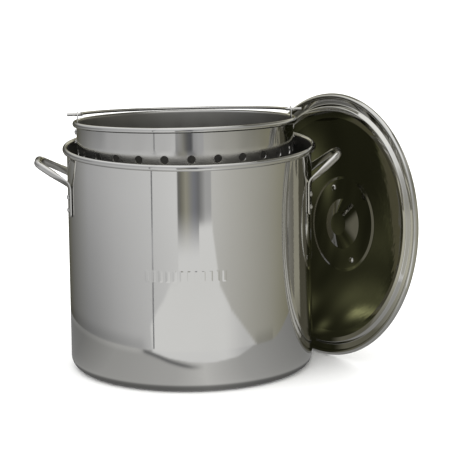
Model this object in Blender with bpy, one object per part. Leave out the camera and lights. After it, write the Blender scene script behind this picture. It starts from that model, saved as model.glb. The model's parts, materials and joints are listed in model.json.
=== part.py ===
"""Turkey fryer kit: a stockpot with two riveted loop handles, a perforated basket with a wire bail that stands
in the pot, and a domed lid that stands on its edge beside them. Metres, +Z up, origin on the floor at the centre
of the pot's base, with the front at -Y."""

import math

import bmesh
import bpy
from mathutils import Matrix, Vector

GAP = 0.0003  # between pieces that touch

POT_RADIUS = 0.1905
POT_HEIGHT = 0.351
POT_WALL = 0.0012
POT_CORNER = 0.019
POT_BEAD = 0.004
POT_STEPS = 48

TUBE_DIAMETER = 0.0114
TANG_WIDTH = 0.017
TANG_THICKNESS = 0.003
TANG_LENGTH = 0.050
TANG_TAPER = 0.006  # length of the rounded tip
LEG_ROOT_HEIGHT = 0.297
LEG_SPACING = 0.104
NOSE_WIDTH = 0.046
HANDLES = {"left": (180, 0.045, 0.029), "right": (0, 0.041, 0.037)}  # turn in degrees, reach, rise
TANG_RIVETS = {"upper": 0.0185, "lower": 0.0385}  # below the leg's root

RIVET_SHANK = 0.0025
RIVET_HEAD = 0.0050
RIVET_DOME = 0.0028
RIVET_FOOT = 0.0016  # thickness of the inner head

BASKET_RADIUS = 0.1690
BASKET_WALL = 0.0010
BASKET_DEPTH = 0.3725
BASKET_CORNER = 0.008
BASKET_CURL = 0.0035
BASKET_TILT = math.radians(4.3)  # front up
BASKET_ROLL = math.radians(-0.45)  # right side up
BASKET_TURN = math.radians(3.2)
BASKET_AXIS = Vector((-0.005, 0.0, 0.0))  # where the basket's axis passes at half its depth
BASKET_COLUMNS = 26
HOLE_ROWS = 5
HOLE_RADIUS = 0.0064
HOLE_SIDES = 6
FIRST_ROW = 0.045
ROW_PITCH = 0.064
CELL_HEIGHT = 0.030
BASE_HOLE_RINGS = {0.0: 1, 0.055: 6, 0.115: 12}  # ring radius and its holes

EAR_WIDTH = 0.016
EAR_THICKNESS = 0.0015
EAR_BOTTOM = 0.036
EAR_EYE_HEIGHT = 0.0137
EAR_TOP = 0.021
EAR_RIVETS = {"upper": 0.0135, "lower": 0.0290}
EAR_SIDES = {"left": -1, "right": 1}

WIRE_RADIUS = 0.0025
EYE_RADIUS = 0.0030
BAIL_STUB = 0.1830
BAIL_BEND = 0.005
BAIL_STEPS = 16

LID_RADIUS = 0.2090
LID_BEAD = 0.0045
LID_SHEET = 0.0010
LID_STEPS = 48
LID_FLANGE = (0.1990, 0.0010)
LID_STEP_OUTER = (0.1910, 0.0004)
LID_RIDGE = ((0.1872, -0.0044), (0.1805, -0.0044))
LID_DOME_FOOT = (0.1700, 0.0012)
LID_DOME_RADIUS = 0.480
LID_RING_RADIUS = 0.0760
LID_RING_STEP = 0.0014
LID_DISH_OUTER = 0.0400
LID_DISH_INNER = 0.0177
LID_DISH_DEPTH = 0.0095
LID_SPOT = Vector((0.2238, 0.0575, 0.0))  # under the lid's centre
LID_FACING = math.radians(-144.4)  # the way its underside looks, seen from above
LID_LEAN = math.radians(6.0)

LID_HANDLE_RIVET = 0.0615  # from the lid's axis
LID_HANDLE_TURN = math.radians(62)
LID_HANDLE_RISE = 0.036
LID_HANDLE_FOOT = 0.049
LID_HANDLE_TOP = 0.030
LID_PAD_LENGTH = 0.024

STEEL = {
    "mirror": ((0.62, 0.61, 0.58), 0.08),
    "satin": ((0.58, 0.57, 0.55), 0.22),
    "wire": ((0.60, 0.60, 0.58), 0.16),
}


def clear_scene():
    for found in list(bpy.data.objects):
        bpy.data.objects.remove(found, do_unlink=True)


def steel(name, finish):
    colour, roughness = STEEL[finish]
    material = bpy.data.materials.new(name + " " + finish + " stainless steel")
    material.use_nodes = True
    shader = material.node_tree.nodes["Principled BSDF"]
    shader.inputs["Base Color"].default_value = (*colour, 1)
    shader.inputs["Metallic"].default_value = 1
    shader.inputs["Roughness"].default_value = roughness
    material.diffuse_color = (*colour, 1)
    return material


def add_piece(name, bm, matrix, finish):
    """The mesh as a named object with its own steel. A finish of None makes a hidden cutter."""
    mesh = bpy.data.meshes.new(name)
    bm.to_mesh(mesh)
    bm.free()
    mesh.shade_smooth()
    piece = bpy.data.objects.new(name, mesh)
    bpy.context.scene.collection.objects.link(piece)
    piece.matrix_world = matrix
    if finish is None:
        piece.hide_render = True
        piece.display_type = "WIRE"
    else:
        mesh.set_sharp_from_angle(angle=math.radians(40))
        mesh.materials.append(steel(name, finish))
    return piece


def add_empty(name, matrix):
    empty = bpy.data.objects.new(name, None)
    bpy.context.scene.collection.objects.link(empty)
    empty.matrix_world = matrix
    return empty


def hang_on(piece, parent):
    """Parents the piece and keeps its place."""
    bpy.context.view_layer.update()
    piece.parent = parent
    piece.matrix_parent_inverse = parent.matrix_world.inverted()


def arc(centre, radius, start, end, steps):
    """Points on a circle in a profile, from one angle to another in degrees."""
    angles = [math.radians(start + (end - start) * i / steps) for i in range(steps + 1)]
    return [(centre[0] + radius * math.cos(a), centre[1] + radius * math.sin(a)) for a in angles]


def turned(name, profile, steps, matrix, finish):
    """A turned solid from an open profile that starts and ends on the axis and runs down its outer side."""
    bm = bmesh.new()
    points = [bm.verts.new((r, 0, z)) for r, z in profile]
    for first, second in zip(points, points[1:]):
        bm.edges.new((first, second))
    piece = add_piece(name, bm, matrix, finish)
    screw = piece.modifiers.new("turn", "SCREW")
    screw.steps = steps
    screw.render_steps = steps
    screw.use_merge_vertices = True
    screw.merge_threshold = 0.00001
    screw.use_smooth_shade = True
    return piece


def sheet_profile(line, sheet, bead_centre, bead):
    """A pressed sheet's profile: out along its upper side, round the bead, and back along its lower side."""
    normals = []
    for i, _ in enumerate(line):
        before = Vector(line[max(i - 1, 0)])
        after = Vector(line[min(i + 1, len(line) - 1)])
        along = (after - before).normalized()
        normals.append(Vector((-along.y, along.x)))
    normals[0] = Vector((0, 1))
    upper = [Vector(p) + n * sheet / 2 for p, n in zip(line, normals)]
    lower = [Vector(p) - n * sheet / 2 for p, n in zip(line, normals)]
    start = math.degrees(math.atan2(upper[-1].y - bead_centre[1], upper[-1].x - bead_centre[0]))
    end = math.degrees(math.atan2(lower[-1].y - bead_centre[1], lower[-1].x - bead_centre[0]))
    roll = arc(bead_centre, bead, start - 12, end - 360 * (end > 0) + 12, 10)
    return [tuple(p) for p in upper[:-1]] + roll + [tuple(p) for p in reversed(lower[:-1])]


def drill(piece, name, holes, radius, length):
    """Cuts round holes through a piece. Each hole is a matrix whose Z runs along it."""
    bm = bmesh.new()
    for hole in holes:
        bmesh.ops.create_cone(
            bm, cap_ends=True, segments=8, radius1=radius, radius2=radius, depth=length, matrix=hole
        )
    cutter = add_piece(name, bm, Matrix(), None)
    cut = piece.modifiers.new(name, "BOOLEAN")
    cut.operation = "DIFFERENCE"
    cut.solver = "EXACT"
    cut.object = cutter


def rivet(name, matrix, grip, finish="satin"):
    """A domed rivet: Z points out of the dome, and the sheets it holds lie between 0 and -grip."""
    foot = 0.8 * RIVET_HEAD
    profile = [
        (0, GAP + RIVET_DOME),
        (0.55 * RIVET_HEAD, GAP + 0.82 * RIVET_DOME),
        (0.9 * RIVET_HEAD, GAP + 0.4 * RIVET_DOME),
        (RIVET_HEAD, GAP),
        (RIVET_SHANK, GAP),
        (RIVET_SHANK, -grip - GAP),
        (foot, -grip - GAP),
        (0.85 * foot, -grip - GAP - RIVET_FOOT),
        (0, -grip - GAP - RIVET_FOOT),
    ]
    return turned(name, profile, 8, matrix, finish)


def axes_at(point, out, up):
    """A matrix at the point whose Z points out and whose Y leans towards up."""
    z = out.normalized()
    x = up.cross(z).normalized()
    y = z.cross(x)
    turn = Matrix((x, y, z)).transposed()
    return Matrix.Translation(point) @ turn.to_4x4()


def rounded(points, radii, steps):
    """The points with each inner corner replaced by an arc of its radius."""
    path = [points[0]]
    for before, corner, after, radius in zip(points, points[1:], points[2:], radii):
        a = (before - corner).normalized()
        b = (after - corner).normalized()
        half = a.angle(b) / 2
        centre = corner + (a + b).normalized() * radius / math.sin(half)
        from_a = (corner + a * radius / math.tan(half) - centre).normalized()
        from_b = (corner + b * radius / math.tan(half) - centre).normalized()
        for i in range(steps + 1):
            path.append(centre + from_a.slerp(from_b, i / steps) * radius)
    path.append(points[-1])
    return path


def section(width, thickness, flatness, sides):
    """A closed outline, round at flatness 0 and nearly a rectangle at 1."""
    power = 1 - 0.62 * flatness
    outline = []
    for i in range(sides):
        angle = 2 * math.pi * (i + 0.5) / sides
        c, s = math.cos(angle), math.sin(angle)
        outline.append(
            (
                width / 2 * math.copysign(abs(c) ** power, c),
                thickness / 2 * math.copysign(abs(s) ** power, s),
            )
        )
    return outline


def half_loop(name, path, sections, across, mirror_axis, matrix, finish, sides):
    """Sweeps sections along the first half of a loop and mirrors it. The last point lies on the mirror plane."""
    bm = bmesh.new()
    rings = []
    side = across.normalized()
    for i, point in enumerate(path):
        along = (path[min(i + 1, len(path) - 1)] - path[max(i - 1, 0)]).normalized()
        if i == len(path) - 1:
            along = Vector([1.0 if axis == mirror_axis else 0.0 for axis in range(3)])
            along *= math.copysign(1, (path[-1] - path[-2])[mirror_axis])
        side = (side - along * side.dot(along)).normalized()
        other = along.cross(side)
        width, thickness, flatness = sections(i, point)
        ring = [
            bm.verts.new(point + side * a + other * b)
            for a, b in section(width, thickness, flatness, sides)
        ]
        rings.append(ring)
    for ring, following in zip(rings, rings[1:]):
        for i in range(sides):
            j = (i + 1) % sides
            bm.faces.new((ring[i], ring[j], following[j], following[i]))
    bm.faces.new(list(reversed(rings[0])))
    bmesh.ops.recalc_face_normals(bm, faces=bm.faces)
    piece = add_piece(name, bm, matrix, finish)
    mirror = piece.modifiers.new("other half", "MIRROR")
    mirror.use_axis = [axis == mirror_axis for axis in range(3)]
    mirror.merge_threshold = 0.00001
    return piece


def make_pot():
    inner = POT_RADIUS - POT_WALL
    inner_corner = POT_CORNER - POT_WALL
    bead_centre = (inner + POT_BEAD, POT_HEIGHT - POT_BEAD)
    meets_wall = -math.degrees(math.acos((POT_RADIUS - bead_centre[0]) / POT_BEAD))
    profile = [(0, POT_WALL)]
    profile += arc((inner - inner_corner, POT_CORNER), inner_corner, -90, 0, 4)
    profile += arc(bead_centre, POT_BEAD, 180, meets_wall, 10)
    profile += arc((POT_RADIUS - POT_CORNER, POT_CORNER), POT_CORNER, 0, -90, 4)
    profile.append((0, 0))
    return turned("pot_shell", profile, POT_STEPS, Matrix(), "mirror")


def tang_frames(turn):
    """For each leg of a handle, the wall's outward direction where its tang lies."""
    spread = math.asin(LEG_SPACING / 2 / POT_RADIUS)
    return {
        end: Vector((math.cos(turn + sign * spread), math.sin(turn + sign * spread), 0))
        for end, sign in (("a", -1), ("b", 1))
    }


def make_pot_handle(side):
    degrees, reach, rise = HANDLES[side]
    turn = math.radians(degrees)
    up = Vector((0, 0, 1))
    wall_way = tang_frames(0)["a"]
    wall_across = up.cross(wall_way)
    stand_off = POT_RADIUS + GAP + TANG_THICKNESS / 2
    root = wall_way * stand_off + up * LEG_ROOT_HEIGHT
    foot = root - up * TANG_LENGTH
    shoulder = foot + up * TANG_TAPER
    nose_x = POT_RADIUS + reach
    nose_z = LEG_ROOT_HEIGHT + rise
    nose = Vector((nose_x, -NOSE_WIDTH / 2, nose_z))
    middle = Vector((nose_x, 0, nose_z))
    path = [foot] + rounded([shoulder, root, nose, middle], [0.010, 0.017], 5)
    flat_until = root.z + 0.001
    round_from = root.z + 0.55 * rise

    def sections(i, point):
        if i == 0:
            return 0.5 * TANG_WIDTH, TANG_THICKNESS, 1
        t = min(max((point.z - flat_until) / (round_from - flat_until), 0), 1)
        width = TANG_WIDTH + (TUBE_DIAMETER - TANG_WIDTH) * t
        return width, TANG_THICKNESS + (TUBE_DIAMETER - TANG_THICKNESS) * t, 1 - t

    name = "pot_handle_" + side
    matrix = Matrix.Rotation(turn, 4, "Z")
    # Stations up the leg keep the change from flat to round smooth.
    bend_end = 7
    leg = (path[bend_end], path[bend_end + 1])
    path[bend_end + 1 : bend_end + 1] = [leg[0].lerp(leg[1], share) for share in (0.25, 0.5, 0.75)]
    handle = half_loop(name, path, sections, wall_across, 1, matrix, "satin", 10)
    holes = []
    grip = TANG_THICKNESS + GAP + POT_WALL
    for end, way in tang_frames(turn).items():
        for row, below in TANG_RIVETS.items():
            head = way * (stand_off + TANG_THICKNESS / 2) + up * (LEG_ROOT_HEIGHT - below)
            place = axes_at(head, way, up)
            holes.append(place)
            rivet("_".join(("pot", side, "rivet", end, row)), place, grip + 0.0002)
    drill(handle, name + "_holes", holes, RIVET_SHANK + GAP, 0.03)
    return holes


def basket_matrix():
    """The basket's own axes: Z up its tilted axis, origin at the middle of its rim."""
    turn = Matrix.Rotation(BASKET_ROLL, 4, "Y") @ Matrix.Rotation(-BASKET_TILT, 4, "X")
    turn = turn @ Matrix.Rotation(BASKET_TURN, 4, "Z")
    axis = turn.to_3x3() @ Vector((0, 0, 1))
    edge = math.sqrt(1 - axis.z**2) * (BASKET_RADIUS - BASKET_CORNER)
    base_height = POT_WALL + GAP + edge + BASKET_CORNER * (1 - axis.z)
    base = BASKET_AXIS + Vector((0, 0, base_height)) - Vector((axis.x, axis.y, 0)) * BASKET_DEPTH / 2
    return Matrix.Translation(base + axis * BASKET_DEPTH) @ turn


def wall_point(column, height, radius):
    """A point on the basket's wall. Columns are counted in half cells from the front."""
    angle = math.pi * column / BASKET_COLUMNS - math.pi / 2
    return Vector((radius * math.cos(angle), radius * math.sin(angle), height))


def hole_ring(bm, centre, place):
    """A hole's outline in the sheet, from a function that places an offset across and up from its centre."""
    angles = [2 * math.pi * (i + 0.5) / HOLE_SIDES + math.pi for i in range(HOLE_SIDES)]
    return [bm.verts.new(place(centre, HOLE_RADIUS * math.cos(a), HOLE_RADIUS * math.sin(a))) for a in angles]


def add_wall_row(bm, lower, upper, centre, shifted):
    """One row of cells between two levels of points, each with a hole in its middle."""
    count = 2 * BASKET_COLUMNS

    def place(middle, across, up):
        column = middle + across / BASKET_RADIUS * BASKET_COLUMNS / math.pi
        return wall_point(column, centre + up, BASKET_RADIUS)

    for cell in range(BASKET_COLUMNS):
        left = 2 * cell - 1 + shifted
        low = [lower[(left + i) % count] for i in range(3)]
        high = [upper[(left + i) % count] for i in range(3)]
        border = [low[0], low[1], low[2], high[2], high[1], high[0]]
        ring = hole_ring(bm, left + 1, place)
        for i in range(HOLE_SIDES):
            j = (i + 1) % HOLE_SIDES
            bm.faces.new((border[i], border[j], ring[j], ring[i]))


def add_band(bm, lower, upper):
    for i in range(len(lower)):
        j = (i + 1) % len(lower)
        bm.faces.new((lower[i], lower[j], upper[j], upper[i]))


def add_level(bm, radius, height):
    return [bm.verts.new(wall_point(i, height, radius)) for i in range(2 * BASKET_COLUMNS)]


def add_base(bm, border):
    """The basket's flat bottom with its rings of holes."""
    loops = [border]
    for ring_radius, count in BASE_HOLE_RINGS.items():
        for i in range(count):
            angle = 2 * math.pi * i / count
            centre = Vector((ring_radius * math.cos(angle), ring_radius * math.sin(angle), -BASKET_DEPTH))
            loops.append(hole_ring(bm, centre, lambda middle, across, up: middle + Vector((across, up, 0))))
    edges = []
    for loop in loops:
        for i, vert in enumerate(loop):
            pair = (vert, loop[(i + 1) % len(loop)])
            edges.append(bm.edges.get(pair) or bm.edges.new(pair))
    bmesh.ops.triangle_fill(bm, use_beauty=True, edges=edges, normal=(0, 0, -1))


def make_basket_shell(matrix):
    bm = bmesh.new()
    corner = arc((BASKET_RADIUS - BASKET_CORNER, BASKET_CORNER - BASKET_DEPTH), BASKET_CORNER, -90, 0, 3)
    levels = [add_level(bm, r, z) for r, z in corner]
    add_base(bm, levels[0])
    for lower, upper in zip(levels, levels[1:]):
        add_band(bm, lower, upper)
    current = levels[-1]
    for row in reversed(range(HOLE_ROWS)):
        centre = -FIRST_ROW - row * ROW_PITCH
        lower = add_level(bm, BASKET_RADIUS, centre - CELL_HEIGHT / 2)
        upper = add_level(bm, BASKET_RADIUS, centre + CELL_HEIGHT / 2)
        add_band(bm, current, lower)
        add_wall_row(bm, lower, upper, centre, row % 2)
        current = upper
    curl_radius = BASKET_CURL - BASKET_WALL
    curl = arc((BASKET_RADIUS + curl_radius, 0), curl_radius, 180, -135, 5)
    for r, z in curl:
        level = add_level(bm, r, z)
        add_band(bm, current, level)
        current = level
    bmesh.ops.recalc_face_normals(bm, faces=bm.faces)
    lowest = min(bm.faces, key=lambda face: face.calc_center_median().z)
    if lowest.normal.z > 0:
        bmesh.ops.reverse_faces(bm, faces=bm.faces)
    basket = add_piece("basket_shell", bm, matrix, "mirror")
    solid = basket.modifiers.new("sheet", "SOLIDIFY")
    solid.thickness = BASKET_WALL
    solid.offset = -1
    solid.use_even_offset = True
    return basket


def ear_radius():
    return BASKET_RADIUS - BASKET_WALL - 2 * GAP - EAR_THICKNESS


def make_ear(side, matrix):
    sign = EAR_SIDES[side]
    half = EAR_WIDTH / 2
    top = EAR_TOP - half
    outline = arc((0, top), half, 0, 180, 8) + arc((0, half * 0.6 - EAR_BOTTOM), half, 217, 323, 4)
    bm = bmesh.new()
    inner = ear_radius()
    face = bm.faces.new([bm.verts.new((inner, y, z)) for y, z in outline])
    grown = bmesh.ops.extrude_face_region(bm, geom=[face])["geom"]
    moved = [v for v in grown if isinstance(v, bmesh.types.BMVert)]
    bmesh.ops.translate(bm, verts=moved, vec=(EAR_THICKNESS, 0, 0))
    bmesh.ops.recalc_face_normals(bm, faces=bm.faces)
    facing = matrix @ Matrix.Rotation(0 if sign > 0 else math.pi, 4, "Z")
    ear = add_piece("basket_ear_" + side, bm, facing, "satin")
    up = Vector((0, 0, 1))
    way = Vector((sign, 0, 0))
    eye = matrix @ axes_at(way * (inner + EAR_THICKNESS / 2) + up * EAR_EYE_HEIGHT, way, up)
    drill(ear, "ear_eye_" + side, [eye], EYE_RADIUS, 0.02)
    holes = []
    grip = BASKET_WALL + 2 * GAP + EAR_THICKNESS
    for row, below in EAR_RIVETS.items():
        place = matrix @ axes_at(way * (BASKET_RADIUS + 0.0001) - up * below, way, up)
        holes.append(place)
        rivet("_".join(("basket", side, "rivet", row)), place, grip + 0.0001)
    drill(ear, "ear_rivet_holes_" + side, holes, RIVET_SHANK + GAP, 0.03)
    return [ear] + holes


def make_bail(matrix):
    """The wire bail: mirrored about its middle, hinged on the line through both ears, folded onto the back rim."""
    half_width = ear_radius() - WIRE_RADIUS - 2 * GAP
    rest_height = BASKET_CURL + WIRE_RADIUS + GAP
    reach = BASKET_RADIUS - BASKET_WALL + BASKET_CURL
    droop = math.asin((EAR_EYE_HEIGHT - rest_height) / reach)
    pivot = matrix @ Matrix.Translation((0, 0, EAR_EYE_HEIGHT)) @ Matrix.Rotation(-droop, 4, "X")
    start = math.asin(3 * BAIL_BEND / reach)
    angles = [start + (math.pi / 2 - start) * i / BAIL_STEPS for i in range(BAIL_STEPS + 1)]
    sweep = [Vector((half_width * math.cos(a), reach * math.sin(a), 0)) for a in angles]
    corner = Vector((half_width - 0.8 * BAIL_BEND, 0, 0))
    bend = rounded([Vector((BAIL_STUB, 0, 0)), corner, sweep[0]], [BAIL_BEND], 4)
    path = bend + sweep[1:]
    size = 2 * WIRE_RADIUS
    return half_loop(
        "basket_bail", path, lambda i, p: (size, size, 0), Vector((0, 0, 1)), 0, pivot, "wire", 8
    )


def make_basket():
    matrix = basket_matrix()
    frame = add_empty("basket_frame", matrix)
    shell = make_basket_shell(matrix)
    holes = []
    for side in EAR_SIDES:
        ear, *found = make_ear(side, matrix)
        holes += found
    drill(shell, "basket_rivet_holes", holes, RIVET_SHANK + GAP, 0.03)
    make_bail(matrix)
    return frame


def lid_matrix():
    """The lid's own axes: Z out of its top, Y up its face, origin at the middle of its bead."""
    inward = Vector(
        (
            math.cos(LID_FACING) * math.cos(LID_LEAN),
            math.sin(LID_FACING) * math.cos(LID_LEAN),
            math.sin(LID_LEAN),
        )
    )
    height = (LID_RADIUS - LID_BEAD) * math.cos(LID_LEAN) + LID_BEAD
    return axes_at(LID_SPOT + Vector((0, 0, height)), -inward, Vector((0, 0, 1)))


def lid_line():
    """The middle of the lid's sheet, from its axis out to its bead."""
    foot_r, foot_z = LID_DOME_FOOT
    dome_centre = foot_z - math.sqrt(LID_DOME_RADIUS**2 - foot_r**2)

    def dome(r):
        return dome_centre + math.sqrt(LID_DOME_RADIUS**2 - r**2)

    ring_z = dome(LID_RING_RADIUS)
    flat_z = ring_z - LID_RING_STEP
    line = [(0, flat_z - LID_DISH_DEPTH), (LID_DISH_INNER, flat_z - LID_DISH_DEPTH)]
    line += [(LID_DISH_OUTER, flat_z), (LID_RING_RADIUS - 0.002, flat_z), (LID_RING_RADIUS, ring_z)]
    steps = 5
    span = foot_r - LID_RING_RADIUS
    line += [(r, dome(r)) for r in (LID_RING_RADIUS + span * i / steps for i in range(1, steps + 1))]
    line += [LID_RIDGE[1], LID_RIDGE[0], LID_STEP_OUTER, LID_FLANGE]
    return line, flat_z


def make_lid_handle(matrix, seat):
    """A loop across the lid's dish, with a flattened pad and a rivet at each end."""
    pad_z = seat + GAP + TANG_THICKNESS / 2
    tip = Vector((0, -LID_HANDLE_RIVET - LID_PAD_LENGTH / 2, pad_z))
    shoulder = tip + Vector((0, TANG_TAPER, 0))
    foot = Vector((0, -LID_HANDLE_FOOT, pad_z))
    top_z = pad_z + LID_HANDLE_RISE
    top = Vector((0, -LID_HANDLE_TOP, top_z))
    middle = Vector((0, 0, top_z))
    path = [tip] + rounded([shoulder, foot, top, middle], [0.007, 0.014], 5)
    bend_end = 7
    path.insert(bend_end + 1, path[bend_end].lerp(path[bend_end + 1], 0.5))

    def sections(i, point):
        if i == 0:
            return 0.5 * TANG_WIDTH, TANG_THICKNESS, 1
        t = min(max((point.z - pad_z - 0.001) / (0.6 * LID_HANDLE_RISE), 0), 1)
        width = TANG_WIDTH + (TUBE_DIAMETER - TANG_WIDTH) * t
        return width, TANG_THICKNESS + (TUBE_DIAMETER - TANG_THICKNESS) * t, 1 - t

    turn = matrix @ Matrix.Rotation(LID_HANDLE_TURN - math.pi / 2, 4, "Z")
    handle = half_loop("lid_handle", path, sections, Vector((1, 0, 0)), 1, turn, "satin", 10)
    holes = []
    grip = TANG_THICKNESS + GAP + LID_SHEET
    for end, sign in (("lower", -1), ("upper", 1)):
        head = Vector((0, sign * LID_HANDLE_RIVET, seat - LID_SHEET))
        place = turn @ axes_at(head, Vector((0, 0, -1)), Vector((0, 1, 0)))
        holes.append(place)
        rivet("lid_rivet_" + end, place, grip + 0.0001)
    drill(handle, "lid_handle_holes", holes, RIVET_SHANK + GAP, 0.03)
    return handle, holes


def make_lid():
    matrix = lid_matrix()
    frame = add_empty("lid_frame", matrix)
    line, flat_z = lid_line()
    profile = sheet_profile(line, LID_SHEET, (LID_RADIUS - LID_BEAD, 0), LID_BEAD)
    shell = turned("lid_shell", profile, LID_STEPS, matrix, "mirror")
    _, holes = make_lid_handle(matrix, flat_z + LID_SHEET / 2)
    drill(shell, "lid_rivet_holes", holes, RIVET_SHANK + GAP, 0.03)
    return frame


def main():
    clear_scene()
    pot = make_pot()
    pot_holes = [hole for side in HANDLES for hole in make_pot_handle(side)]
    drill(pot, "pot_rivet_holes", pot_holes, RIVET_SHANK + GAP, 0.03)
    frames = {"basket": make_basket(), "lid": make_lid()}
    for piece in list(bpy.data.objects):
        family = piece.name.split("_")[0]
        if piece.type == "MESH" and family in frames and not piece.hide_render:
            hang_on(piece, frames[family])


main()
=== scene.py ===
import json
import math

import bmesh
import bpy
import numpy as np
from mathutils import Matrix, Vector


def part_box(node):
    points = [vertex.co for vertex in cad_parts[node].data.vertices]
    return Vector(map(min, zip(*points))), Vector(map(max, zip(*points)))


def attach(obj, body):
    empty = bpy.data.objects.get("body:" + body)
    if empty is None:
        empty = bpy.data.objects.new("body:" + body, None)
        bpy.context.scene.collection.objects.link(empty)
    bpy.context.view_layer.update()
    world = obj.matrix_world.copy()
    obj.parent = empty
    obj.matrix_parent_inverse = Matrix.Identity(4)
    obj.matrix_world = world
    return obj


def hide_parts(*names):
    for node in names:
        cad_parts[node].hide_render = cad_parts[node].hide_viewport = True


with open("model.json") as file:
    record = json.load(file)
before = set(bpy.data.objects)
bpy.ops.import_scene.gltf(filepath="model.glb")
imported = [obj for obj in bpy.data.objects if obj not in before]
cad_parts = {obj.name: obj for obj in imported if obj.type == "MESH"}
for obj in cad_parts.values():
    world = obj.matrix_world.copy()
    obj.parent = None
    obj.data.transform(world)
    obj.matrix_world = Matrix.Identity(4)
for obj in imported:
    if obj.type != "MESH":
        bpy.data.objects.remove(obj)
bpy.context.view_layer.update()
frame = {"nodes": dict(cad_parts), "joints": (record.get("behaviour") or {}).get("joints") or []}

mm = 0.001
gap = 0.3 * mm  # what touching pieces keep between them
up = Vector((0, 0, 1))
joints = {joint["name"]: joint for joint in frame["joints"]}


def smoothStep(value, low, high):
    t = np.clip((value - low) / (high - low), 0, 1)
    return t * t * (3 - 2 * t)


def toLinear(hexText):
    values = [int(hexText[i:i + 2], 16) / 255 for i in (1, 3, 5)]
    return tuple(v / 12.92 if v < 0.04045 else ((v + 0.055) / 1.055) ** 2.4 for v in values) + (1,)


def addNode(tree, kind, settings=None, links=None):
    node = tree.nodes.new(kind)
    for name, value in (settings or {}).items():
        if isinstance(name, str) and hasattr(node, name):
            setattr(node, name, value)
        else:
            node.inputs[name].default_value = value
    for name, source in (links or {}).items():
        tree.links.new(source, node.inputs[name])
    return node


# Steel. The sheet is mirror polished, the tube and rivets are tumbled, and the wire is drawn.

steels = {
    # The eye sees soft upright reflections with a faint vertical brushing.
    "mirror-polished stainless sheet": {
        "kind": "mirror_steel", "colour": "#CDCCC9", "stain": "#C6C5C1", "roughness": (0.035, 0.07),
        "lineWidth": 1.4 * mm, "lineStretch": 60, "lineDepth": 0.0006 * mm,
        "wave": 46 * mm, "waveDepth": 0.018 * mm},
    # Reflections blur low on the basket's wall.
    "polished stainless sheet, duller round the punched holes": {
        "kind": "punched", "colour": "#CDCCC9", "stain": "#C6C5C1", "roughness": (0.04, 0.08),
        "dullTo": (-29 * mm, -41 * mm, 0.16),
        "lineWidth": 1.4 * mm, "lineStretch": 60, "lineDepth": 0.0006 * mm,
        "wave": 46 * mm, "waveDepth": 0.018 * mm},
    # The same mirror, with faint rings.
    "spun and polished stainless lid": {
        "kind": "lid", "spun": True, "colour": "#CDCCC8", "stain": "#C5C4BE", "roughness": (0.04, 0.08),
        "lineWidth": 1.2 * mm, "lineStretch": 1, "lineDepth": 0.0008 * mm,
        "wave": 40 * mm, "waveDepth": 0.03 * mm},
    # Grey and soft, with no clear reflection: the roughness is a duller drawn finish, and the darker colour
    # is painted shade inside the vessels.
    "dull drawn inside of the stainless vessels": {
        "kind": "inside", "colour": "#9A9995", "stain": "#83817C", "roughness": (0.26, 0.38),
        "lineWidth": 1.1 * mm, "lineStretch": 40, "lineDepth": 0.003 * mm,
        "wave": 30 * mm, "waveDepth": 0.03 * mm},
    # Bright, slightly blurred highlights along the bends.
    "tumbled stainless tube and rivets": {
        "kind": "satin_steel", "colour": "#D2D1CE", "stain": "#C2C0BB", "roughness": (0.10, 0.20),
        "lineWidth": 0.9 * mm, "lineStretch": 3, "lineDepth": 0.003 * mm,
        "wave": 9 * mm, "waveDepth": 0.02 * mm},
    # A bright line on top and a dark one below.
    "drawn stainless wire": {
        "kind": "wire_steel", "colour": "#CFCECB", "stain": "#BDBBB6", "roughness": (0.08, 0.16),
        "lineWidth": 0.7 * mm, "lineStretch": 5, "lineDepth": 0.002 * mm,
        "wave": 7 * mm, "waveDepth": 0.01 * mm},
}
sheetSteel = steels["mirror-polished stainless sheet"]


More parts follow.
